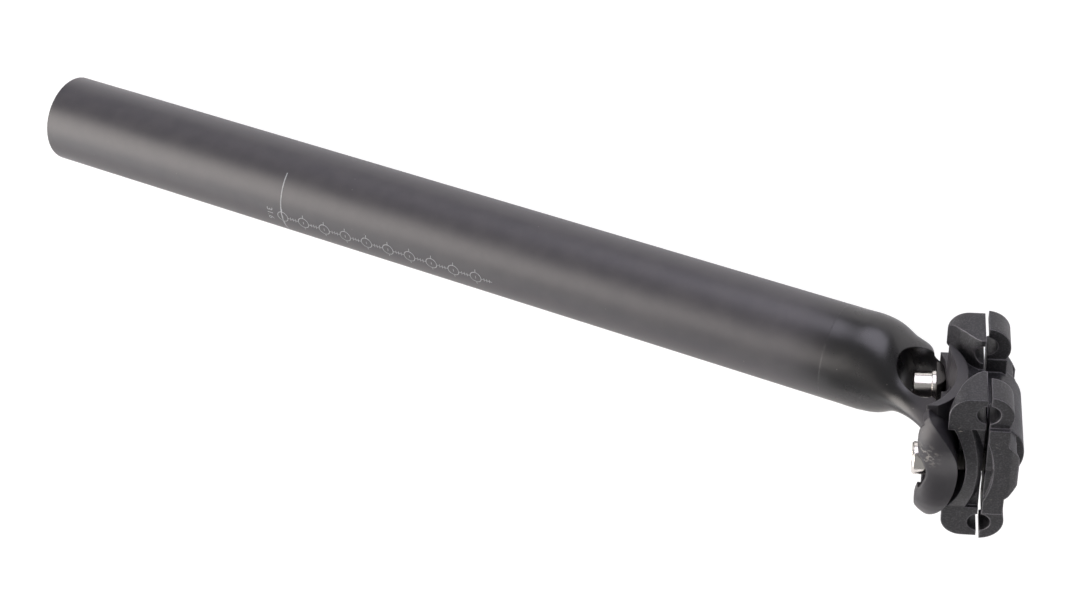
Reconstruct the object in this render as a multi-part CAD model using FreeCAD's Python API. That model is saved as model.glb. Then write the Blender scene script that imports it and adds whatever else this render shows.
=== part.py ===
import FreeCAD, Part
import math
import os

V = FreeCAD.Vector

# Tube
TUBE_R = 15.8
TUBE_WALL = 2.4
NECK_LOW = 314.0
BORE_TO_NECK = 8.0

# Pose of the rail plane on the post: x forward, z up along the tube
CLAMP_X = -12.7
CLAMP_Z = 367.4
CLAMP_TILT = 21.9

# Saddle rails
RAIL_R = 3.5
RAIL_Y = 22.0
JAW_END_X = 20.4
JAW_IN_Y = 16.0
JAW_OUT_Y = 27.6
HALF_GAP = 0.5

# Crown that the cradle rocks on, axis along y
CROWN_R = 18.5
CROWN_Z = -24.0
CROWN_WALL = 3.4
CROWN_HALF_W = 21.0
CROWN_FRONT_X = 15.5
WING_LOW_Z = -18.8
ROCK_CLEAR = 0.3

# Rear of the head: two lobes with a valley between them
LOBE_REAR_X = -24.7
VALLEY_DEPTH = 1.2
LOBE_Y = 11.0
LOBE_LOW_Z = -20.2
VALLEY_LOW_Z = -18.3
LOBE_WALL = 3.0

# Middle rib and the bosses under the two bolts
BEAM_REAR_X = -22.5
BEAM_FRONT_X = 23.0
BEAM_HALF_W = 9.0
BOSS_R = 8.0

# Bolts, washers and nuts
BOLT_X = 16.5
BOLT_R = 3.0
BOLT_LEN = 25.0
HEAD_R = 5.0
HEAD_H = 6.0
HEX_AF = 5.0
HEX_DEPTH = 3.2
WASHER_R = 5.6
WASHER_T = 1.3
HEAD_TOP_Z = -15.3
SEAT_R = 6.5
SEAT_AXIS_Z = -17.0
SEAT_CLEAR = 0.3
SEAT_HALF_W = 5.9
NUT_R = 4.0
NUT_Z = 5.3
NUT_HALF_L = 7.5
NUT_CLEAR = 0.05
WASHER_CLEAR = 0.2
THREAD_CLEAR = 0.4
POCKET_CLEAR = 0.5

# Upper clamp
BAR_IN_X = 11.3
BAR_OUT_X = 21.8
BAR_HALF_W = 17.0
SHOULDER_Z = 6.8
DOME_Z = 11.3
DOME_R = 14.8
RIDGE_Z = 12.2

# Ears of the head and arches of the cradle above them
EAR_TOP_Z = -7.8
EAR_ARCH_R = 24.6
EAR_BOTTOM_Z = -12.9
FLANK_X = 4.9
WALL_LOW_Z = -5.4
WALL_HIGH_Z = -2.0
WALL_ARCH_R = 31.0
WALL_X = 22.4
WALL_TOP_X = 19.0
BULGE_R = 62.0

# Half of a cutting box that is larger than the head
FAR = 40.0


def box(x0, x1, y0, y1, z0, z1):
    return Part.makeBox(x1 - x0, y1 - y0, z1 - z0, V(x0, y0, z0))


def cyl_y(r, x, z, half):
    """Cylinder along y with its seam on the underside."""
    body = Part.makeCylinder(r, 2 * half, V(x, -half, z), V(0, 1, 0))
    body.rotate(V(x, 0, z), V(0, 1, 0), 180)
    return body


def cyl_x(r, y, z, x0, x1):
    return Part.makeCylinder(r, x1 - x0, V(x0, y, z), V(1, 0, 0))


def cyl_z(r, x, y, z0, z1):
    return Part.makeCylinder(r, z1 - z0, V(x, y, z0), V(0, 0, 1))


def prism_y(points, half):
    """Extrude an x-z polygon over -half to half in y."""
    wire = Part.makePolygon([V(x, -half, z) for x, z in points + points[:1]])
    return Part.Face(wire).extrude(V(0, 2 * half, 0))


def on_head(shape):
    """Move a shape from the rail plane's own axes to the post's axes."""
    shape = shape.copy()
    shape.rotate(V(0, 0, 0), V(0, 1, 0), CLAMP_TILT)
    shape.translate(V(CLAMP_X, 0, CLAMP_Z))
    return shape


def mirrored_x(shape):
    return shape.mirror(V(0, 0, 0), V(1, 0, 0))


def mirrored_y(shape):
    return shape.mirror(V(0, 0, 0), V(0, 1, 0))


def slot_z(x, half_len, r, z0, z1):
    """Upright slot, long along x, for a bolt that swings."""
    ends = [cyl_z(r, x + s * (half_len - r), 0, z0, z1) for s in (-1, 1)]
    middle = box(x - half_len + r, x + half_len - r, -r, r, z0, z1)
    return ends[0].fuse([ends[1], middle])


# Shaft, neck and head, one moulding
def neck_section(cx, cz, tilt, half_len, half_w, taper):
    """Closed teardrop curve in a plane tilted about y, narrow at the rear."""
    t = math.radians(tilt)
    points = []
    for i in range(16):
        a = 2 * math.pi * i / 16
        u = half_len * math.cos(a)
        y = half_w * math.sin(a) * (1 - taper * (1 - math.cos(a)) / 2)
        points.append(V(cx + u * math.cos(t), y, cz - u * math.sin(t)))
    curve = Part.BSplineCurve()
    curve.interpolate(points, PeriodicFlag=True)
    return Part.Wire(curve.toShape())


def neck():
    """Loft from the round tube to the narrow waist below the head."""
    r = TUBE_R + 0.03
    sections = [
        neck_section(0, NECK_LOW, 0, r, r, 0),
        neck_section(0, NECK_LOW + 7, 0, r, r, 0),
        neck_section(0, 328, 1, TUBE_R - 0.15, TUBE_R - 0.2, 0),
        neck_section(-0.5, 333, 4, TUBE_R - 0.5, TUBE_R - 1.1, 0.12),
        neck_section(-1.8, 338.5, 9, TUBE_R - 0.5, TUBE_R - 3.2, 0.46),
        neck_section(-4.0, 344.0, 16, 17.0, 12.2, 0.64),
        neck_section(-14.1, 352.6, CLAMP_TILT, 23.4, 11.8, 0.60),
        neck_section(-14.6, 358.0, CLAMP_TILT, 21.0, 10.0, 0.50),
    ]
    return Part.makeLoft(sections, True, False, False, 2)


def ear_arch(x0, x1, top_z, arch_r, z0):
    """Block with an arched top, lying over x0 to x1."""
    round_top = cyl_x(arch_r, 0, top_z - arch_r, x0, x1)
    return round_top.common(box(x0, x1, -CROWN_HALF_W, CROWN_HALF_W, z0, top_z + 1))


def wing_plan():
    """Upright prism on the crown's plan outline, with rounded front corners."""
    body = box(-16.0, CROWN_FRONT_X, -CROWN_HALF_W, CROWN_HALF_W, -30, 0)
    corners = [e for e in body.Edges
               if e.BoundBox.ZLength > 29 and e.BoundBox.XMin > CROWN_FRONT_X - 0.1]
    return body.makeFillet(3.0, corners)


def under_crown():
    return cyl_y(CROWN_R, 0, CROWN_Z - CROWN_WALL, CROWN_HALF_W + 1)


def crown_wings():
    shell = cyl_y(CROWN_R, 0, CROWN_Z, CROWN_HALF_W).cut(under_crown())
    return shell.common(box(-FAR, FAR, -FAR, FAR, WING_LOW_Z, 0)).common(wing_plan())


def lobe_outline(z, inset):
    """Closed plan curve at height z: two lobes at the rear, straight at the front."""
    front = -8.0
    side = CROWN_HALF_W - inset
    rear = LOBE_REAR_X + inset
    half = [(rear + VALLEY_DEPTH, 0), (rear + 0.45 * VALLEY_DEPTH, 0.5 * LOBE_Y),
            (rear, LOBE_Y), (rear + 1.7, 0.5 * (LOBE_Y + side)),
            (rear + 5.6, side - 0.9), (rear + 10.5, side)]
    points = [V(x, -y, z) for x, y in half[:0:-1]] + [V(x, y, z) for x, y in half]
    curve = Part.BSplineCurve()
    curve.interpolate(points)
    ends = Part.makePolygon([points[-1], V(front, side, z), V(front, -side, z), points[0]])
    return Part.Wire([curve.toShape()] + ends.Edges)


def lobe_low_edge():
    """Slab along x whose underside waves: up in the valley and at the outer corners."""
    side = CROWN_HALF_W
    half = [(0, VALLEY_LOW_Z), (0.4 * LOBE_Y, VALLEY_LOW_Z - 0.5), (0.75 * LOBE_Y, LOBE_LOW_Z + 0.3),
            (LOBE_Y + 0.6, LOBE_LOW_Z + 0.05), (side - 4.2, LOBE_LOW_Z + 0.9),
            (side - 1.2, LOBE_LOW_Z + 3.4), (side + 0.5, LOBE_LOW_Z + 7.0)]
    points = [V(-FAR, -y, z) for y, z in half[:0:-1]] + [V(-FAR, y, z) for y, z in half]
    curve = Part.BSplineCurve()
    curve.interpolate(points)
    top = Part.makePolygon([points[-1], V(-FAR, side + 0.5, 0), V(-FAR, -side - 0.5, 0), points[0]])
    return Part.Face(Part.Wire([curve.toShape()] + top.Edges)).extrude(V(FAR, 0, 0))


def rear_lobes():
    """Rear of the head: lobed wall under an arched roof, open from below."""
    levels = [(LOBE_LOW_Z, 2.4), (LOBE_LOW_Z + 0.9, 1.5), (LOBE_LOW_Z + 3.4, 0), (EAR_TOP_Z, 0.3)]
    full = Part.makeLoft([lobe_outline(z, i) for z, i in levels], True, False, False, 2)
    full = full.common(ear_arch(-FAR, 0, EAR_TOP_Z, EAR_ARCH_R, LOBE_LOW_Z))
    full = full.common(lobe_low_edge())
    roof = EAR_TOP_Z - CROWN_WALL
    inner = cyl_x(EAR_ARCH_R, 0, roof - EAR_ARCH_R, LOBE_REAR_X + VALLEY_DEPTH + LOBE_WALL, 0)
    return full.cut([inner, under_crown()])


def beam():
    """Middle rib that holds both bolt seats."""
    rib = ear_arch(BEAM_REAR_X, BEAM_FRONT_X, EAR_TOP_Z, EAR_ARCH_R, EAR_BOTTOM_Z)
    return rib.common(box(-FAR, FAR, -BEAM_HALF_W, BEAM_HALF_W, -FAR, 0))


def bosses():
    room = box(BEAM_REAR_X, FAR, -FAR, FAR, -FAR, 0)
    return [cyl_z(BOSS_R, s * BOLT_X, 0, EAR_BOTTOM_Z, EAR_TOP_Z - 1.2).common(room)
            for s in (-1, 1)]


def window():
    """Opening through the head for the front bolt and its key."""
    outline = [(23.0, -14.0), (24.4, -20.3), (20.5, -25.0), (14.6, -26.4),
               (10.0, -23.6), (5.4, -17.4), (4.4, -11.6), (14.0, -11.2)]
    curve = Part.BSplineCurve()
    curve.interpolate([V(x, -FAR, z) for x, z in outline], PeriodicFlag=True)
    return Part.Face(Part.Wire(curve.toShape())).extrude(V(0, 2 * FAR, 0))


def bared_flank():
    """Slanted cut on the neck's left flank that bares the front bolt's head."""
    outline = [(FLANK_X, 3.4), (-5.0, 10.8), (-5.0, 20.0), (7.0, 20.0), (7.0, 3.4)]
    wire = Part.makePolygon([V(x, y, EAR_BOTTOM_Z) for x, y in outline + outline[:1]])
    return Part.Face(wire).extrude(V(9.0, 8.0, -13.0))


def bolt_room(s):
    x = s * BOLT_X
    seat = cyl_y(SEAT_R + SEAT_CLEAR, x, SEAT_AXIS_Z, SEAT_HALF_W + SEAT_CLEAR)
    slot = slot_z(x, 4.7, 3.5, SEAT_AXIS_Z, 0)
    return [seat, slot]


def rear_pocket():
    """Room for the rear bolt's head and washer."""
    return cyl_z(WASHER_R + POCKET_CLEAR, -BOLT_X, 0, -FAR, SEAT_AXIS_Z + 4.1)


def head():
    return on_head(crown_wings().fuse([rear_lobes(), beam()] + bosses()))


def shaft():
    return Part.makeCylinder(TUBE_R, NECK_LOW + 0.5)


def bore():
    return Part.makeCylinder(TUBE_R - TUBE_WALL, NECK_LOW - BORE_TO_NECK + 1, V(0, 0, -1))


def post_shaft():
    crown_space = cyl_y(CROWN_R, 0, CROWN_Z, FAR).common(box(-FAR, FAR, -FAR, FAR, -16, 0))
    lid = box(-FAR, FAR, -FAR, FAR, EAR_TOP_Z - 0.4, FAR)
    trimmed = neck().cut(on_head(lid.cut(crown_space)))
    body = shaft().fuse([trimmed, head()])
    flank = bared_flank()
    cuts = [on_head(c) for c in (window(), rear_pocket(), flank, mirrored_y(flank))] + [bore()]
    for s in (-1, 1):
        cuts += [on_head(c) for c in bolt_room(s)]
    return body.cut(cuts).removeSplitter()


# Lower cradle
def lower_jaw():
    """Front left jaw: deep at its end face, running out towards the middle."""
    side = [(JAW_END_X, -HALF_GAP), (JAW_END_X, -11.5), (19.6, -11.5), (16.0, -9.6),
            (13.0, -8.0), (10.0, -5.6), (8.0, -3.6), (7.0, -1.9), (7.0, -HALF_GAP)]
    jaw = prism_y(side, JAW_OUT_Y).common(
        box(0, 30, JAW_IN_Y - 0.5, JAW_OUT_Y, -12, 0))
    r = 6.5
    corner = box(0, 30, JAW_OUT_Y - r, JAW_OUT_Y + 1, -12.5, -11.5 + r).cut(
        cyl_x(r, JAW_OUT_Y - r, -11.5 + r, 0, 30))
    return jaw.cut(corner)


def four_times(shape):
    front = [shape, mirrored_y(shape)]
    return front + [mirrored_x(s) for s in front]


def cradle_middle():
    """Saddle shaped block between the jaws with a bulging front and rear wall."""
    block = box(-FAR, FAR, -JAW_IN_Y - 0.2, JAW_IN_Y + 0.2, -12.0, -HALF_GAP)
    under = cyl_x(WALL_ARCH_R, 0, WALL_LOW_Z - WALL_ARCH_R, 8, FAR)
    for s in (-1, 1):
        block = block.common(cyl_z(BULGE_R, s * (WALL_X - BULGE_R), 0, -13, 1))
    return block.cut([cyl_y(CROWN_R + ROCK_CLEAR, 0, CROWN_Z, FAR), under, mirrored_x(under)])


def cradle_scoop():
    """Cut that slopes the top of the front wall down to its arched edge."""
    zc = WALL_HIGH_Z - WALL_ARCH_R
    depth = WALL_X - WALL_TOP_X
    cone = Part.makeCone(WALL_ARCH_R + 2.4, WALL_ARCH_R, depth, V(WALL_TOP_X, 0, zc), V(1, 0, 0))
    return box(WALL_TOP_X, WALL_X, -JAW_IN_Y, JAW_IN_Y, -12.1, 0).cut(cone)


def lower_cradle():
    body = cradle_middle().fuse(four_times(lower_jaw()))
    scoop = cradle_scoop()
    cuts = [scoop, mirrored_x(scoop)]
    cuts += [cyl_x(RAIL_R, s * RAIL_Y, 0, -30, 30) for s in (-1, 1)]
    cuts += [slot_z(s * BOLT_X, 4.1, 3.5, -20, 5) for s in (-1, 1)]
    cuts.append(cyl_y(CROWN_R + ROCK_CLEAR, 0, CROWN_Z, CROWN_HALF_W + 0.5))
    return on_head(body.cut(cuts).removeSplitter())


# Upper clamp
def upper_jaw():
    r = 7.5
    jaw = cyl_x(r, 21.2, 0, BAR_IN_X, JAW_END_X)
    return jaw.common(box(0, 30, 0, 40, HALF_GAP, 20))


def nut_bar():
    """Bar across the clamp that carries the front barrel nut."""
    profile = [(BAR_IN_X - 0.3, HALF_GAP), (BAR_OUT_X, HALF_GAP), (BAR_OUT_X, DOME_Z - 3.4),
               (BAR_OUT_X - 1.2, DOME_Z - 1.0), (BAR_OUT_X - 3.8, DOME_Z), (BAR_IN_X - 0.3, DOME_Z)]
    wall = prism_y(profile, BAR_HALF_W)
    dome = cyl_x(DOME_R, 0, DOME_Z - DOME_R, 5, 25)
    low = box(5, 25, -BAR_HALF_W, BAR_HALF_W, 0, SHOULDER_Z)
    return wall.common(dome.fuse(low))


def ridge():
    """Domed bridge between the two nut bars."""
    r = 13.6
    body = cyl_x(r, 0, RIDGE_Z - r, -13, 13)
    return body.common(box(-13, 13, -12.0, 12.0, HALF_GAP, 20))


def nut_trough(s):
    """Trough that the barrel nut drops into from above."""
    r = NUT_R + NUT_CLEAR
    half = NUT_HALF_L + NUT_CLEAR
    x = s * BOLT_X
    return cyl_y(r, x, NUT_Z, half).fuse(box(x - r, x + r, -half, half, NUT_Z, DOME_Z + 5))


def clamp_relief():
    """Arched hollows under the middle and the end walls of the upper clamp."""
    r = 32.0
    arch = cyl_x(r, 0, 2.8 - r, -30, 30)
    rooms = [box(-10, 10, -13, 13, -5, 20), box(20.7, 30, -13, 13, -5, 20)]
    rooms.append(mirrored_x(rooms[1]))
    return [arch.common(room) for room in rooms]


def upper_clamp():
    bar = nut_bar()
    body = ridge().fuse([bar, mirrored_x(bar)] + four_times(upper_jaw()))
    cuts = [cyl_x(RAIL_R, s * RAIL_Y, 0, -30, 30) for s in (-1, 1)]
    cuts += [nut_trough(s) for s in (-1, 1)]
    cuts += [slot_z(s * BOLT_X, 4.1, 3.5, -5, 20) for s in (-1, 1)]
    cuts += clamp_relief()
    return on_head(body.cut(cuts).removeSplitter())


# Fasteners
def bolt(s):
    z0 = HEAD_TOP_Z - HEAD_H
    end = HEAD_TOP_Z + BOLT_LEN
    outline = [(0, z0), (HEAD_R - 0.5, z0), (HEAD_R, z0 + 0.5), (HEAD_R, HEAD_TOP_Z),
               (BOLT_R, HEAD_TOP_Z), (BOLT_R, end - 0.6), (BOLT_R - 0.6, end), (0, end)]
    wire = Part.makePolygon([V(r, 0, h) for r, h in outline + outline[:1]])
    solid = Part.Face(wire).revolve(V(0, 0, 0), V(0, 0, 1), 360)
    corner = HEX_AF / math.sqrt(3)
    hexagon = Part.makePolygon([V(corner * math.cos(k * math.pi / 3),
                                  corner * math.sin(k * math.pi / 3), z0 - 1)
                                for k in range(7)])
    socket = Part.Face(hexagon).extrude(V(0, 0, HEX_DEPTH + 1))
    solid = solid.cut(socket)
    solid.translate(V(s * BOLT_X, 0, 0))
    return on_head(solid)


def washer(s):
    ring = cyl_z(WASHER_R, s * BOLT_X, 0, HEAD_TOP_Z, HEAD_TOP_Z + WASHER_T)
    return on_head(ring.cut(cyl_z(BOLT_R + WASHER_CLEAR, s * BOLT_X, 0, -20, 0)))


def seat_washer(s):
    """Washer with a round back that lets its bolt swing."""
    z0 = HEAD_TOP_Z + WASHER_T
    back = cyl_y(SEAT_R, s * BOLT_X, SEAT_AXIS_Z, SEAT_HALF_W)
    back = back.common(box(s * BOLT_X - 10, s * BOLT_X + 10, -10, 10, z0, 0))
    return on_head(back.cut(cyl_z(BOLT_R + WASHER_CLEAR, s * BOLT_X, 0, -20, 0)))


def barrel_nut(s):
    nut = cyl_y(NUT_R, s * BOLT_X, NUT_Z, NUT_HALF_L)
    return on_head(nut.cut(cyl_z(BOLT_R + THREAD_CLEAR, s * BOLT_X, 0, -5, 20)))


def save(name, shape):
    shape.exportStep("parts/" + name + ".step")


os.makedirs("parts", exist_ok=True)
save("post_shaft", post_shaft())
save("lower_cradle", lower_cradle())
save("upper_clamp", upper_clamp())
for side, s in (("front", 1), ("rear", -1)):
    save("bolt_" + side, bolt(s))
    save("washer_" + side, washer(s))
    save("seat_washer_" + side, seat_washer(s))
    save("barrel_nut_" + side, barrel_nut(s))
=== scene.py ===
"""Looks of a round bicycle seatpost with a two-bolt saddle clamp.

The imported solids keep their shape. This file gives them their finishes, prints the
height scale on the shaft and sets up the camera and the light of the photograph.
"""

import logging
import math
from dataclasses import dataclass
from enum import Enum

import bmesh
import bpy
from mathutils import Matrix, Vector


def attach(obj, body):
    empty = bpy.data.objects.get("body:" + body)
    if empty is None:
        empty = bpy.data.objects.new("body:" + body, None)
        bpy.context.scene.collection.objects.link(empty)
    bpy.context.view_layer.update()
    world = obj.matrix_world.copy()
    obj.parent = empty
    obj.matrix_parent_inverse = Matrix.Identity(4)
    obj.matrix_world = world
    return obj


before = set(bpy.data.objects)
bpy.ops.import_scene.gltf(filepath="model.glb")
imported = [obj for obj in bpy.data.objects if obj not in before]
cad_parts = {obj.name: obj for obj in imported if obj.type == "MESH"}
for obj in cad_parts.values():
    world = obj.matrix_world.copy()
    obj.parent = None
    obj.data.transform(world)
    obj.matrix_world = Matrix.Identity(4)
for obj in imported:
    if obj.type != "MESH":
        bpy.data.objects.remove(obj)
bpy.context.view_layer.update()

log = logging.getLogger("seatpost")

MM = 0.001
WHITE = "#ffffff"

# Where the plane of the saddle rails stands on the post
CLAMP_X_MM = -12.7
CLAMP_Z_MM = 367.4
CLAMP_TILT_DEG = 21.9

# Settings of every node that remaps a value
SMOOTH = {"interpolation_type": "SMOOTHSTEP", "clamp": True}

# Samples of a rounded edge, and how deep a relief of full strength is
EDGE_SAMPLES = 6
RELIEF_MM = 0.05

# What an input takes: a constant, another node or one output of it
Source = float | tuple[float, ...] | bpy.types.Node | bpy.types.NodeSocket
Inputs = dict[str | int, Source]


class Body(Enum):
    """Rigid body that carries a piece which the solids don't have."""

    POST = "post"


class Slot(Enum):
    """Material slot of the record, not used here."""

    SHAFT = "shaft"


class Side(Enum):
    """The two bolts, each with its washers and its nut."""

    FRONT = "front"
    REAR = "rear"


@dataclass(frozen=True)
class Pattern:
    """A noise of a real size: its largest features and how many finer layers it has."""

    size_mm: float
    detail: float

    def on(self, place: Source) -> Inputs:
        """Give the noise's inputs on some coordinates."""
        return {"Vector": place, "Scale": 1 / (self.size_mm * MM), "Detail": self.detail}


@dataclass(frozen=True)
class Span:
    """Two limits of a value, and the two results that it is remapped to."""

    low: float = 0.0
    high: float = 1.0
    first: float = 0.0
    second: float = 1.0

    def of(self, value: Source) -> Inputs:
        """Give the inputs that remap a value."""
        return {0: value, 1: self.low, 2: self.high, 3: self.first, 4: self.second}

    def around(self, middle: float) -> "Span":
        """Give the same limits with both results counted from a middle value."""
        return Span(self.low, self.high, middle + self.first, middle + self.second)


def srgb(code: str) -> tuple[float, float, float, float]:
    """Turn an sRGB hex colour into linear RGBA.

    Args:
        code: six hex digits with a leading #.

    Returns:
        Linear red, green, blue and an alpha of 1.
    """
    channels = [int(code[i:i + 2], 16) / 255 for i in (1, 3, 5)]
    linear = [c / 12.92 if c <= 0.04045 else ((c + 0.055) / 1.055) ** 2.4 for c in channels]
    return (*linear, 1.0)


def wire(node: bpy.types.Node, values: Inputs) -> None:
    """Set a node's inputs.

    Args:
        node: the node.
        values: input name or index to a constant, to an output, or to a node whose first
            output in use is taken.
    """
    for key, value in values.items():
        if isinstance(value, bpy.types.Node):
            value = next(output for output in value.outputs if output.enabled)
        if isinstance(value, bpy.types.NodeSocket):
            node.id_data.links.new(value, node.inputs[key])
        else:
            node.inputs[key].default_value = value


def add(tree: bpy.types.NodeTree, kind: str, values: Inputs | None = None,
        **settings: object) -> bpy.types.Node:
    """Add a node with its settings, constants and links.

    Args:
        tree: node tree that gets the node.
        kind: Blender's node type.
        values: its inputs, as wire takes them.
        settings: properties of the node itself.

    Returns:
        The new node.
    """
    made = tree.nodes.new(kind)
    for name, value in settings.items():
        setattr(made, name, value)
    wire(made, values or {})
    return made


def soft_edge(tree: bpy.types.NodeTree, height: Source, strength: float,
              radius_mm: float) -> bpy.types.Node:
    """Round the sharp edges in shading and lay a fine relief on top.

    Args:
        tree: node tree that gets the nodes.
        height: relief to lay on.
        strength: how strong the relief is.
        radius_mm: radius that the edges seem to have.

    Returns:
        The node that gives the normal.
    """
    rounded = add(tree, "ShaderNodeBevel", {"Radius": radius_mm * MM}, samples=EDGE_SAMPLES)
    return add(tree, "ShaderNodeBump", {"Height": height, "Strength": strength,
                                        "Distance": RELIEF_MM * MM, "Normal": rounded})


def edge_mask(tree: bpy.types.NodeTree, radius_mm: float) -> bpy.types.Node:
    """Find the edges, where the rounded normal leaves the true one.

    Args:
        tree: node tree that gets the nodes.
        radius_mm: how far from an edge the mask reaches.

    Returns:
        The node that gives 0 on flat faces and more towards the edges.
    """
    rounded = add(tree, "ShaderNodeBevel", {"Radius": radius_mm * MM}, samples=EDGE_SAMPLES)
    true = add(tree, "ShaderNodeNewGeometry").outputs["Normal"]
    agree = add(tree, "ShaderNodeVectorMath", {0: rounded, 1: true}, operation="DOT_PRODUCT")
    return add(tree, "ShaderNodeMath", {0: 1.0, 1: agree}, operation="SUBTRACT")


def layered(tree: bpy.types.NodeTree, base: str, *layers: tuple[Source, str]) -> Source:
    """Lay colours over a first one.

    Args:
        tree: node tree that gets the nodes.
        base: the first colour, in sRGB hex.
        layers: for each further colour how much of it covers the rest, and its sRGB hex.

    Returns:
        The node that gives the colour.
    """
    tone: Source = srgb(base)
    for share, colour in layers:
        tone = add(tree, "ShaderNodeMix", {0: share, 6: tone, 7: srgb(colour)}, data_type="RGBA")
    return tone


def new_material(name: str) -> tuple[bpy.types.Material, bpy.types.NodeTree, bpy.types.Node]:
    """Start a material.

    Args:
        name: what the finish is called.

    Returns:
        The material, its node tree and its principled shader.
    """
    material = bpy.data.materials.new(name)
    material.use_nodes = True
    tree = material.node_tree
    return material, tree, tree.nodes["Principled BSDF"]


@dataclass(frozen=True)
class SatinCarbon:
    """Moulded carbon under a satin clear coat.

    The shaft has a dull coat that spreads soft light. The neck is glossier and nearly black: a darker
    tone of its own deepened by painted shade where it curves inward, and the head is a little
    duller again. Handling left specks of pale dust, and a key has scuffed the lobe beside the
    rear bolt.
    """

    colour: str = "#39373b"
    # Nearly black neck: its own darker tone with painted shade of its inward-curving surfaces
    neck_tone_and_shade: str = "#111012"
    head_colour: str = "#2c2a2e"
    dust: str = "#8d8984"
    roughness: float = 0.39
    neck_roughness: float = 0.27
    head_roughness: float = 0.40
    ior: float = 1.55

    # Heights up the post, in metres, where the neck and the head begin
    neck_m: Span = Span(0.298, 0.322)
    head_m: Span = Span(0.342, 0.350)

    # Thin uneven cover of dust, which lightens the coat and dulls it
    mottle: Pattern = Pattern(7.0, 4.0)
    mottle_tint: Span = Span(0.3, 0.7, 0.0, 0.04)
    mottle_gloss: Span = Span(0.3, 0.7, 0.0, 0.02)

    # Specks of dust: how far apart they stand, and their rim and core as shares of that
    speck_mm: float = 6.0
    speck: Span = Span(0.035, 0.02)
    speck_tint: Span = Span(second=0.35)

    # The scuff: its middle, its reach, and the marks in it
    rub_mm: tuple[float, float, float] = (-41.5, 8.0, 360.0)
    rub_reach_mm: float = 6.0
    rub: Pattern = Pattern(1.3, 3.0)
    rub_tint: Span = Span(0.5, 0.64, 0.0, 0.8)

    # Ripple of the clear coat, its strength, and the radius that the edges seem to have
    grain: Pattern = Pattern(0.3, 2.0)
    relief: float = 0.05
    edge_mm: float = 0.5

    def rubbed(self, tree: bpy.types.NodeTree, place: Source) -> bpy.types.Node:
        """Find the scuffs that a key left on the lobe beside the rear bolt.

        Args:
            tree: node tree that gets the nodes.
            place: coordinates to lay them on.

        Returns:
            The node that gives 0 on the clean coat and more in a scuff.
        """
        centre = tuple(c * MM for c in self.rub_mm)
        away = add(tree, "ShaderNodeVectorMath", {0: place, 1: centre}, operation="DISTANCE")
        near = add(tree, "ShaderNodeMapRange", Span(self.rub_reach_mm * MM, 0.0).of(away), **SMOOTH)
        marks = add(tree, "ShaderNodeTexNoise", self.rub.on(place))
        deep = add(tree, "ShaderNodeMapRange", self.rub_tint.of(marks), **SMOOTH)
        return add(tree, "ShaderNodeMath", {0: near, 1: deep}, operation="MULTIPLY")

    def tone(self, tree: bpy.types.NodeTree, place: Source, mottle: Source, neck: Source,
             head: Source) -> Source:
        """Lay the colours of the shaft, the darker neck with painted shade, the head, the scuff
        and the dust.

        Args:
            tree: node tree that gets the nodes.
            place: coordinates to lay them on.
            mottle: the uneven cover of dust.
            neck: 0 on the shaft, 1 from the neck up.
            head: 0 below the head, 1 on it.

        Returns:
            The colour.
        """
        specks = add(tree, "ShaderNodeTexVoronoi",
                     {"Vector": place, "Scale": 1 / (self.speck_mm * MM)})
        dusty = add(tree, "ShaderNodeMapRange", self.speck.of(specks), **SMOOTH)
        return layered(
            tree, self.colour,
            (add(tree, "ShaderNodeMapRange", self.mottle_tint.of(mottle), **SMOOTH), self.dust),
            # darker neck: its own tone and painted shade
            (neck, self.neck_tone_and_shade),
            (head, self.head_colour),
            (self.rubbed(tree, place), self.dust),
            (add(tree, "ShaderNodeMapRange", self.speck_tint.of(dusty), **SMOOTH), self.dust))

    def material(self) -> bpy.types.Material:
        """Build the material."""
        material, tree, shader = new_material("satin_carbon")
        place = add(tree, "ShaderNodeTexCoord").outputs["Object"]
        height = add(tree, "ShaderNodeSeparateXYZ", {0: place}).outputs["Z"]
        neck = add(tree, "ShaderNodeMapRange", self.neck_m.of(height), **SMOOTH)
        head = add(tree, "ShaderNodeMapRange", self.head_m.of(height), **SMOOTH)
        mottle = add(tree, "ShaderNodeTexNoise", self.mottle.on(place))
        grain = add(tree, "ShaderNodeTexNoise", self.grain.on(place))
        glossier = Span(first=self.roughness, second=self.neck_roughness)
        duller = Span(second=self.head_roughness - self.neck_roughness)
        rough = add(tree, "ShaderNodeMapRange", glossier.of(neck), **SMOOTH)
        for more in (duller.of(head), self.mottle_gloss.of(mottle)):
            change = add(tree, "ShaderNodeMapRange", more, **SMOOTH)
            rough = add(tree, "ShaderNodeMath", {0: rough, 1: change}, operation="ADD")
        wire(shader, {"Base Color": self.tone(tree, place, mottle, neck, head),
                      "Roughness": rough,
                      "Normal": soft_edge(tree, grain, self.relief, self.edge_mm),
                      "IOR": self.ior})
        return material


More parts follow.
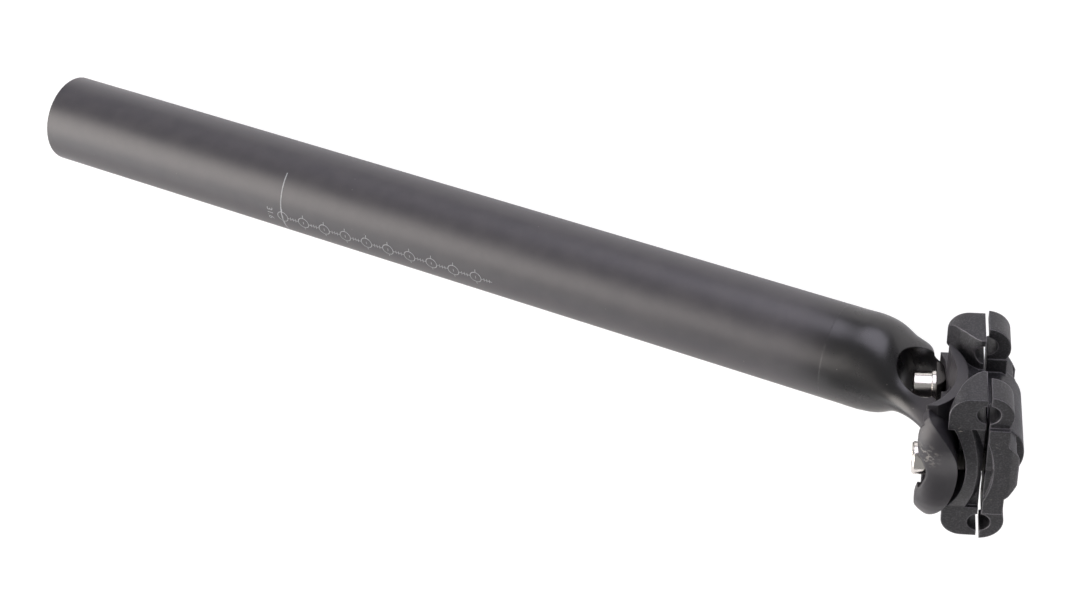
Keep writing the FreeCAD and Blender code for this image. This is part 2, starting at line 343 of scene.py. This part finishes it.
@dataclass(frozen=True)
class BlackForging:
    """Forged aluminium, blasted and anodised black.

    The blasting leaves a fine dull grain, drawn about three times as coarse as the real one so
    that it shows. Its pale flecks are painted sparkle: glints of the blasted grain laid into the
    colour. The pale edges are painted highlights together with black rubbed off by handling, and
    a few scratches cross the faces.
    """

    colour: str = "#1b1b1e"
    # Colour of the painted sparkle on the blasted grain
    sparkle_colour: str = "#39383c"
    # Pale edges: painted highlights and black rubbed off by handling
    wear_and_highlight_colour: str = "#86838a"
    scratch: str = "#8a8580"
    roughness: float = 0.42
    grain: Pattern = Pattern(0.55, 3.0)
    sparkle_share: Span = Span(0.42, 0.72)
    relief: float = 1.0
    edge_mm: float = 0.9

    # Soft clouds of more and less handling, and how far the pale edges reach from an edge: painted
    # highlight and black rubbed off
    cloud: Pattern = Pattern(6.0, 3.0)
    cloud_gloss: Span = Span(0.3, 0.7, -0.05, 0.05)
    wear_and_highlight_mm: float = 0.7
    wear_and_highlight_edge: Span = Span(0.02, 0.2)
    wear_and_highlight_cloud: Span = Span(0.35, 0.6, 0.4, 0.9)

    # Scratches: a fine noise drawn out one way, kept to a few patches
    scratch_turn: tuple[float, float, float] = (0.5, 0.9, 0.3)
    scratch_stretch: tuple[float, float, float] = (1.0, 1.0, 0.12)
    line: Pattern = Pattern(0.5, 1.0)
    line_edge: Span = Span(0.68, 0.74)
    patch: Pattern = Pattern(9.0, 2.0)
    patch_edge: Span = Span(0.58, 0.68, 0.0, 0.7)

    def scratches(self, tree: bpy.types.NodeTree, place: Source) -> bpy.types.Node:
        """Find thin short scratches in a few places.

        Args:
            tree: node tree that gets the nodes.
            place: coordinates to lay them on.

        Returns:
            The node that gives 0 on clean metal and more in a scratch.
        """
        turned = add(tree, "ShaderNodeMapping", {"Vector": place, "Rotation": self.scratch_turn,
                                                 "Scale": self.scratch_stretch})
        line = add(tree, "ShaderNodeTexNoise", self.line.on(turned))
        patch = add(tree, "ShaderNodeTexNoise", self.patch.on(place))
        shares = {0: add(tree, "ShaderNodeMapRange", self.line_edge.of(line), **SMOOTH),
                  1: add(tree, "ShaderNodeMapRange", self.patch_edge.of(patch), **SMOOTH)}
        return add(tree, "ShaderNodeMath", shares, operation="MULTIPLY")

    def wear_and_highlight(self, tree: bpy.types.NodeTree, cloud: Source) -> bpy.types.Node:
        """Find the pale edges: painted highlights and black rubbed off by handling.

        Args:
            tree: node tree that gets the nodes.
            cloud: soft pattern that makes the pale edges uneven.

        Returns:
            The node that gives 0 on whole black and more on a pale edge.
        """
        edge = edge_mask(tree, self.wear_and_highlight_mm)
        shares = {0: add(tree, "ShaderNodeMapRange", self.wear_and_highlight_edge.of(edge), **SMOOTH),
                  1: add(tree, "ShaderNodeMapRange", self.wear_and_highlight_cloud.of(cloud), **SMOOTH)}
        return add(tree, "ShaderNodeMath", shares, operation="MULTIPLY")

    def material(self) -> bpy.types.Material:
        """Build the material."""
        material, tree, shader = new_material("black_anodised_forging")
        place = add(tree, "ShaderNodeTexCoord").outputs["Object"]
        grain = add(tree, "ShaderNodeTexNoise", self.grain.on(place))
        cloud = add(tree, "ShaderNodeTexNoise", self.cloud.on(place))
        tone = layered(
            tree, self.colour,
            # painted sparkle: lighter flecks that stand in for glints on the grain
            (add(tree, "ShaderNodeMapRange", self.sparkle_share.of(grain), **SMOOTH), self.sparkle_colour),
            # pale edges: painted highlights and black rubbed off by handling
            (self.wear_and_highlight(tree, cloud), self.wear_and_highlight_colour),
            (self.scratches(tree, place), self.scratch))
        gloss = self.cloud_gloss.around(self.roughness)
        wire(shader, {"Base Color": tone,
                      "Roughness": add(tree, "ShaderNodeMapRange", gloss.of(cloud), **SMOOTH),
                      "Normal": soft_edge(tree, grain, self.relief, self.edge_mm)})
        return material


@dataclass(frozen=True)
class PolishedSteel:
    """Turned and polished steel, bright and here and there dulled by fingers.

    The lathe left a faint unevenness, drawn about three times as coarse as its real feed of a
    tenth of a millimetre so that it shows.
    """

    name: str = "polished_steel"
    colour: str = "#d8d4cf"
    roughness: float = 0.16
    turning: Pattern = Pattern(0.35, 2.0)
    smear: Pattern = Pattern(3.0, 3.0)
    smear_gloss: Span = Span(0.3, 0.7, -0.05, 0.08)
    relief: float = 0.04
    edge_mm: float = 0.35

    def material(self) -> bpy.types.Material:
        """Build the material."""
        material, tree, shader = new_material(self.name)
        place = add(tree, "ShaderNodeTexCoord").outputs["Object"]
        smear = add(tree, "ShaderNodeTexNoise", self.smear.on(place))
        turning = add(tree, "ShaderNodeTexNoise", self.turning.on(place))
        gloss = self.smear_gloss.around(self.roughness)
        wire(shader, {"Base Color": srgb(self.colour), "Metallic": 1.0,
                      "Roughness": add(tree, "ShaderNodeMapRange", gloss.of(smear), **SMOOTH),
                      "Normal": soft_edge(tree, turning, self.relief, self.edge_mm)})
        return material


@dataclass(frozen=True)
class BoltSteel:
    """Steel bolt: a polished head and a dull dark shank with a thread of its real pitch.

    The shank begins under the head, at a height along the bolt from the plane of the saddle
    rails. Its dark colour is partly the dull thread and partly painted shade, where the shank
    lies in shadow between the head's lobes and the cradle.
    """

    colour: str = "#d8d4cf"
    # Dark shank: its dull thread together with painted shade where it lies between lobes and cradle
    shank_and_shade_colour: str = "#3b3937"
    roughness: float = 0.15
    shank_roughness: float = 0.45
    under_head_mm: float = -12.6
    fade_mm: float = 0.3
    pitch_mm: float = 1.0
    smear: Pattern = Pattern(3.0, 3.0)
    smear_gloss: Span = Span(0.3, 0.7, -0.04, 0.06)
    relief: float = 0.9
    edge_mm: float = 0.4

    def height(self, tree: bpy.types.NodeTree, place: Source) -> bpy.types.Node:
        """Measure along the bolts from the plane of the saddle rails.

        Args:
            tree: node tree that gets the nodes.
            place: coordinates on the post.

        Returns:
            The node that gives the height in metres.
        """
        tilt = math.radians(CLAMP_TILT_DEG)
        axis = (math.sin(tilt), 0.0, math.cos(tilt))
        base = (CLAMP_X_MM * axis[0] + CLAMP_Z_MM * axis[2]) * MM
        along = add(tree, "ShaderNodeVectorMath", {0: place, 1: axis}, operation="DOT_PRODUCT")
        return add(tree, "ShaderNodeMath", {0: along, 1: base}, operation="SUBTRACT")

    def material(self) -> bpy.types.Material:
        """Build the material."""
        material, tree, shader = new_material("bolt_steel")
        place = add(tree, "ShaderNodeTexCoord").outputs["Object"]
        height = self.height(tree, place)
        start = Span(self.under_head_mm * MM, (self.under_head_mm + self.fade_mm) * MM)
        shank = add(tree, "ShaderNodeMapRange", start.of(height), **SMOOTH)
        turn = add(tree, "ShaderNodeMath", {0: height, 1: math.tau / (self.pitch_mm * MM)},
                   operation="MULTIPLY")
        wave = add(tree, "ShaderNodeMath", {0: turn}, operation="SINE")
        thread = add(tree, "ShaderNodeMath", {0: wave, 1: shank}, operation="MULTIPLY")
        smear = add(tree, "ShaderNodeTexNoise", self.smear.on(place))
        dull = Span(first=self.roughness, second=self.shank_roughness)
        shares = {0: add(tree, "ShaderNodeMapRange", dull.of(shank), **SMOOTH),
                  1: add(tree, "ShaderNodeMapRange", self.smear_gloss.of(smear), **SMOOTH)}
        # the shank's dark colour holds painted shade as well as its dull thread
        wire(shader, {"Base Color": layered(tree, self.colour, (shank, self.shank_and_shade_colour)),
                      "Metallic": 1.0,
                      "Roughness": add(tree, "ShaderNodeMath", shares, operation="ADD"),
                      "Normal": soft_edge(tree, thread, self.relief, self.edge_mm)})
        return material


@dataclass(frozen=True)
class PaleInk:
    """Thin pale grey ink, printed under the coat and a little uneven."""

    colour: str = "#9c9ea0"
    thin: str = "#86888a"
    roughness: float = 0.4
    cover: Pattern = Pattern(1.1, 2.0)
    cover_tint: Span = Span(0.3, 0.7)

    def material(self) -> bpy.types.Material:
        """Build the material."""
        material, tree, shader = new_material("pale_print")
        place = add(tree, "ShaderNodeTexCoord").outputs["Object"]
        cover = add(tree, "ShaderNodeTexNoise", self.cover.on(place))
        share = add(tree, "ShaderNodeMapRange", self.cover_tint.of(cover), **SMOOTH)
        wire(shader, {"Base Color": layered(tree, self.thin, (share, self.colour)),
                      "Roughness": self.roughness})
        return material


def dress(name: str, material: bpy.types.Material) -> None:
    """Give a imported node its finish.

    Args:
        name: the node.
        material: its finish.
    """
    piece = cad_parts[name]
    piece.data.materials.clear()
    piece.data.materials.append(material)
    log.info("dressed %s in %s", name, material.name)


def finish_mesh(name: str, mesh: bmesh.types.BMesh, material: bpy.types.Material, body: Body) -> None:
    """Turn a bmesh into a piece that rides on a body.

    Args:
        name: name of the piece.
        mesh: its shape in the row's frame. It is freed.
        material: its finish.
        body: body that carries it.
    """
    data = bpy.data.meshes.new(name)
    mesh.to_mesh(data)
    mesh.free()
    data.materials.append(material)
    piece = bpy.data.objects.new(name, data)
    bpy.context.scene.collection.objects.link(piece)
    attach(piece, body.value)
    log.info("made %s with %d faces", name, len(data.polygons))


@dataclass
class PrintedScale:
    """Height scale on the back of the shaft: an insertion line and ten linked marks.

    A mark is a ring with a dash in it and a tick on either side, and a spine with short rungs
    climbs from each ring. The tube's diameter stands below the line in plain figures. Lengths
    are in millimetres. On the print's own plane x runs leftwards round the tube and y up it.
    """

    tube_r: float = 15.8
    proud: float = 0.015
    bend_step: float = 0.8
    line_z: float = 106.7
    line_from_deg: float = 125.0
    line_to_deg: float = 215.0
    line_w: float = 0.45
    scale_deg: float = 187.0
    first_z: float = 107.0
    pitch: float = 8.9
    marks: int = 10
    ring_r: float = 2.3
    ring_w: float = 0.3
    ring_steps: int = 28
    dash_length: float = 1.2
    dash_w: float = 0.24
    tick_length: float = 1.1
    tick_w: float = 0.25
    rungs: int = 3
    rung_length: float = 1.5
    figures: str = "31.6"
    figure_size: float = 3.4
    figure_z: float = 101.5

    def strip(self, mesh: bmesh.types.BMesh, x0: float, x1: float, y0: float, y1: float) -> None:
        """Add a flat strip, cut across x so that it can bend round the tube.

        It starts as a grid one unit wide, which is a size of one half.

        Args:
            mesh: print to add to.
            x0: one side.
            x1: the other side.
            y0: lower side.
            y1: upper side.
        """
        count = max(1, int(abs(x1 - x0) / self.bend_step))
        made = bmesh.ops.create_grid(mesh, x_segments=count, y_segments=1, size=0.5)
        bmesh.ops.scale(mesh, vec=(x1 - x0, y1 - y0, 1), verts=made["verts"])
        bmesh.ops.translate(mesh, vec=((x0 + x1) / 2, (y0 + y1) / 2, 0), verts=made["verts"])

    def ring(self, mesh: bmesh.types.BMesh, y: float) -> None:
        """Add one ring.

        Args:
            mesh: print to add to.
            y: its centre along the print.
        """
        for vert in mesh.verts:
            vert.tag = True
        inner = Vector((self.ring_r - self.ring_w, 0, 0))
        outer = Vector((self.ring_r, 0, 0))
        verts = [mesh.verts.new(inner), mesh.verts.new(outer)]
        edge = mesh.edges.new(verts)
        bmesh.ops.spin(mesh, geom=[*verts, edge], cent=(0, 0, 0), axis=(0, 0, 1),
                       angle=math.tau, steps=self.ring_steps, use_merge=True)
        fresh = [v for v in mesh.verts if not v.tag]
        bmesh.ops.translate(mesh, vec=(0, y, 0), verts=fresh)

    def mark(self, mesh: bmesh.types.BMesh, y: float) -> None:
        """Add one mark with the spine and the rungs above it.

        Args:
            mesh: print to add to.
            y: its centre along the print.
        """
        dash, tick, rung = self.dash_w / 2, self.tick_w / 2, self.rung_length / 2
        self.ring(mesh, y)
        self.strip(mesh, -self.dash_length / 2, self.dash_length / 2, y - dash, y + dash)
        for side in (-1, 1):
            self.strip(mesh, side * self.ring_r, side * (self.ring_r + self.tick_length),
                       y - tick, y + tick)
        low, high = y + self.ring_r, y + self.pitch - self.ring_r
        for k in range(1, self.rungs + 1):
            at = low + (self.pitch - 2 * self.ring_r) * k / (self.rungs + 1)
            self.strip(mesh, -rung, rung, at - tick, at + tick)
        self.strip(mesh, -tick, tick, low, high)

    def number(self, mesh: bmesh.types.BMesh) -> None:
        """Add the tube's diameter in plain figures.

        Args:
            mesh: print to add to.
        """
        curve = bpy.data.curves.new("figures", "FONT")
        curve.body = self.figures
        curve.size = self.figure_size
        curve.align_x, curve.align_y = "CENTER", "CENTER"
        flat = bpy.data.meshes.new_from_object(bpy.data.objects.new("figures", curve))
        flat.transform(Matrix.Translation((0, self.figure_z, 0)) @ Matrix.Diagonal((-1, 1, 1, 1)))
        mesh.from_mesh(flat)

    def wrap(self, mesh: bmesh.types.BMesh) -> None:
        """Bend the flat print round the tube.

        Args:
            mesh: print to bend.
        """
        r = self.tube_r + self.proud
        for vert in mesh.verts:
            angle = math.radians(self.scale_deg) - vert.co.x / r
            vert.co = Vector((r * math.cos(angle), r * math.sin(angle), vert.co.y)) * MM

    def build(self, ink: bpy.types.Material) -> None:
        """Build the whole print as one piece.

        Args:
            ink: finish of the print.
        """
        mesh = bmesh.new()
        per_degree = math.radians(1) * self.tube_r
        start = (self.scale_deg - self.line_to_deg) * per_degree
        end = (self.scale_deg - self.line_from_deg) * per_degree
        self.strip(mesh, start, end, self.line_z - self.line_w / 2, self.line_z + self.line_w / 2)
        for i in range(self.marks):
            self.mark(mesh, self.first_z + i * self.pitch)
        self.number(mesh)
        self.wrap(mesh)
        bmesh.ops.recalc_face_normals(mesh, faces=mesh.faces)
        finish_mesh("printed_scale", mesh, ink, Body.POST)


@dataclass
class Shaft:
    """Hollow shaft with neck and head, and the print on it."""

    finish: SatinCarbon = SatinCarbon()
    ink: PaleInk = PaleInk()

    def build(self) -> None:
        """Dress the shaft and print its scale."""
        dress("post_shaft", self.finish.material())
        PrintedScale().build(self.ink.material())


@dataclass
class SaddleClamp:
    """Lower cradle, upper clamp and the nuts in it."""

    finish: BlackForging = BlackForging()
    nut_finish: PolishedSteel = PolishedSteel("turned_steel", "#8f8d8a", 0.32, Pattern(0.2, 2.0))

    def build(self) -> None:
        """Dress both forgings and the nuts."""
        black = self.finish.material()
        dress("lower_cradle", black)
        dress("upper_clamp", black)
        steel = self.nut_finish.material()
        for side in Side:
            dress("barrel_nut_" + side.value, steel)


@dataclass
class Fasteners:
    """Bolts and the washers under their heads."""

    bolt_finish: BoltSteel = BoltSteel()
    washer_finish: PolishedSteel = PolishedSteel()
    seat_finish: PolishedSteel = PolishedSteel("dark_steel", "#4c4a49", 0.3)

    def build(self) -> None:
        """Dress every bolt and washer."""
        bolt = self.bolt_finish.material()
        washer = self.washer_finish.material()
        seat = self.seat_finish.material()
        for side in Side:
            dress("bolt_" + side.value, bolt)
            dress("washer_" + side.value, washer)
            dress("seat_washer_" + side.value, seat)


@dataclass
class PhotoCamera:
    """Camera where the photograph was taken from, in millimetres and the row's frame."""

    place: tuple[float, float, float] = (-506.55, 461.34, 517.25)
    right: tuple[float, float, float] = (0.49122, -0.05169, 0.86950)
    up: tuple[float, float, float] = (0.56503, 0.77862, -0.27292)
    lens_mm: float = 73.33
    sensor_mm: float = 36.0
    nearest_mm: float = 10.0

    def build(self) -> None:
        """Make the camera and choose it."""
        data = bpy.data.cameras.new("camera")
        data.lens = self.lens_mm
        data.sensor_width = self.sensor_mm
        data.clip_start = self.nearest_mm * MM
        camera = bpy.data.objects.new("camera", data)
        bpy.context.scene.collection.objects.link(camera)
        right, up = Vector(self.right), Vector(self.up)
        turn = Matrix((right, up, right.cross(up))).transposed()
        camera.matrix_world = Matrix.Translation(Vector(self.place) * MM) @ turn.to_4x4()
        bpy.context.scene.camera = camera


@dataclass(frozen=True)
class Glow:
    """A soft bright part of the room.

    It lies around a direction, fades out where the cosine to that direction drops below fade,
    and is full where the cosine passes full.
    """

    towards: tuple[float, float, float]
    fade: float
    full: float
    strength: float
    colour: str


@dataclass
class Studio:
    """White room over a pale floor, with a few soft bright parts that the coat mirrors.

    The post lies on the floor. The shaft's foot and one corner of the clamp touch it.
    """

    # The floor: its normal, its place along that from the origin, half its width, its looks
    floor_up: tuple[float, float, float] = (-0.74, 0.67, 0.025)
    floor_mm: float = -16.2
    floor_half_m: float = 3.0
    floor_colour: str = "#f7f7f7"
    floor_roughness: float = 0.9
    floor_glow: float = 1.15

    # How much of the floor glows to the camera and in mirrors. The rest keeps the shadow
    seen_share: float = 0.8
    mirrored_share: float = 0.08

    # The room's plain light, and its bright parts on top of that
    dim: float = 0.38
    glows: tuple[Glow, ...] = (
        Glow((-0.693, 0.173, -0.70), 0.84, 0.99, 5.8, "#fff8f3"),
        Glow((0.138, 0.98, 0.05), 0.84, 0.97, 3.0, "#f4f0ff"),
        Glow((-0.46, -0.47, -0.75), 0.82, 0.96, 2.6, WHITE),
    )

    def room(self) -> None:
        """Make the world: white to look at, uneven as light."""
        world = bpy.data.worlds.new("room")
        bpy.context.scene.world = world
        world.use_nodes = True
        tree = world.node_tree
        tree.nodes.clear()
        way = add(tree, "ShaderNodeTexCoord").outputs["Generated"]
        level: Source = (self.dim, self.dim, self.dim)
        for glow in self.glows:
            axis = tuple(Vector(glow.towards).normalized())
            towards = add(tree, "ShaderNodeVectorMath", {0: way, 1: axis}, operation="DOT_PRODUCT")
            reach = Span(glow.fade, glow.full, 0.0, glow.strength)
            more = add(tree, "ShaderNodeMapRange", reach.of(towards), **SMOOTH)
            level = add(tree, "ShaderNodeVectorMath", {0: more, 1: srgb(glow.colour)[:3], 2: level},
                        operation="MULTIPLY_ADD")
        light = add(tree, "ShaderNodeBackground", {"Color": level, "Strength": 1.0})
        seen = add(tree, "ShaderNodeBackground", {"Color": srgb(WHITE), "Strength": 1.0})
        camera = add(tree, "ShaderNodeLightPath").outputs["Is Camera Ray"]
        mixed = add(tree, "ShaderNodeMixShader", {0: camera, 1: light, 2: seen})
        add(tree, "ShaderNodeOutputWorld", {"Surface": mixed})

    def floor_material(self) -> bpy.types.Material:
        """Build the floor's material, which looks white and still takes a shadow."""
        material, tree, shader = new_material("white_floor")
        wire(shader, {"Base Color": srgb(self.floor_colour), "Roughness": self.floor_roughness})
        glow = add(tree, "ShaderNodeEmission",
                   {"Color": srgb(WHITE), "Strength": self.floor_glow})
        path = add(tree, "ShaderNodeLightPath").outputs
        seen = add(tree, "ShaderNodeMath", {0: path["Is Camera Ray"], 1: self.seen_share},
                   operation="MULTIPLY")
        share = add(tree, "ShaderNodeMath",
                    {0: path["Is Glossy Ray"], 1: self.mirrored_share, 2: seen},
                    operation="MULTIPLY_ADD")
        mixed = add(tree, "ShaderNodeMixShader", {0: share, 1: shader, 2: glow})
        wire(tree.nodes["Material Output"], {"Surface": mixed})
        return material

    def floor(self) -> None:
        """Make the floor that the post lies on."""
        mesh = bmesh.new()
        bmesh.ops.create_grid(mesh, x_segments=1, y_segments=1, size=self.floor_half_m)
        up = Vector(self.floor_up).normalized()
        turn = up.to_track_quat("Z", "Y").to_matrix()
        bmesh.ops.rotate(mesh, cent=(0, 0, 0), matrix=turn, verts=mesh.verts)
        bmesh.ops.translate(mesh, vec=up * self.floor_mm * MM, verts=mesh.verts)
        data = bpy.data.meshes.new("floor")
        mesh.to_mesh(data)
        mesh.free()
        data.materials.append(self.floor_material())
        floor = bpy.data.objects.new("floor", data)
        bpy.context.scene.collection.objects.link(floor)

    def build(self) -> None:
        """Make the room and the floor."""
        bpy.context.scene.view_settings.view_transform = "Standard"
        self.room()
        self.floor()


def main() -> None:
    """Build the post's looks, the camera and the room."""
    logging.basicConfig(level=logging.INFO, format="%(message)s")
    for part in (Shaft(), SaddleClamp(), Fasteners()):
        part.build()
    PhotoCamera().build()
    Studio().build()


if __name__ == "__main__":
    main()
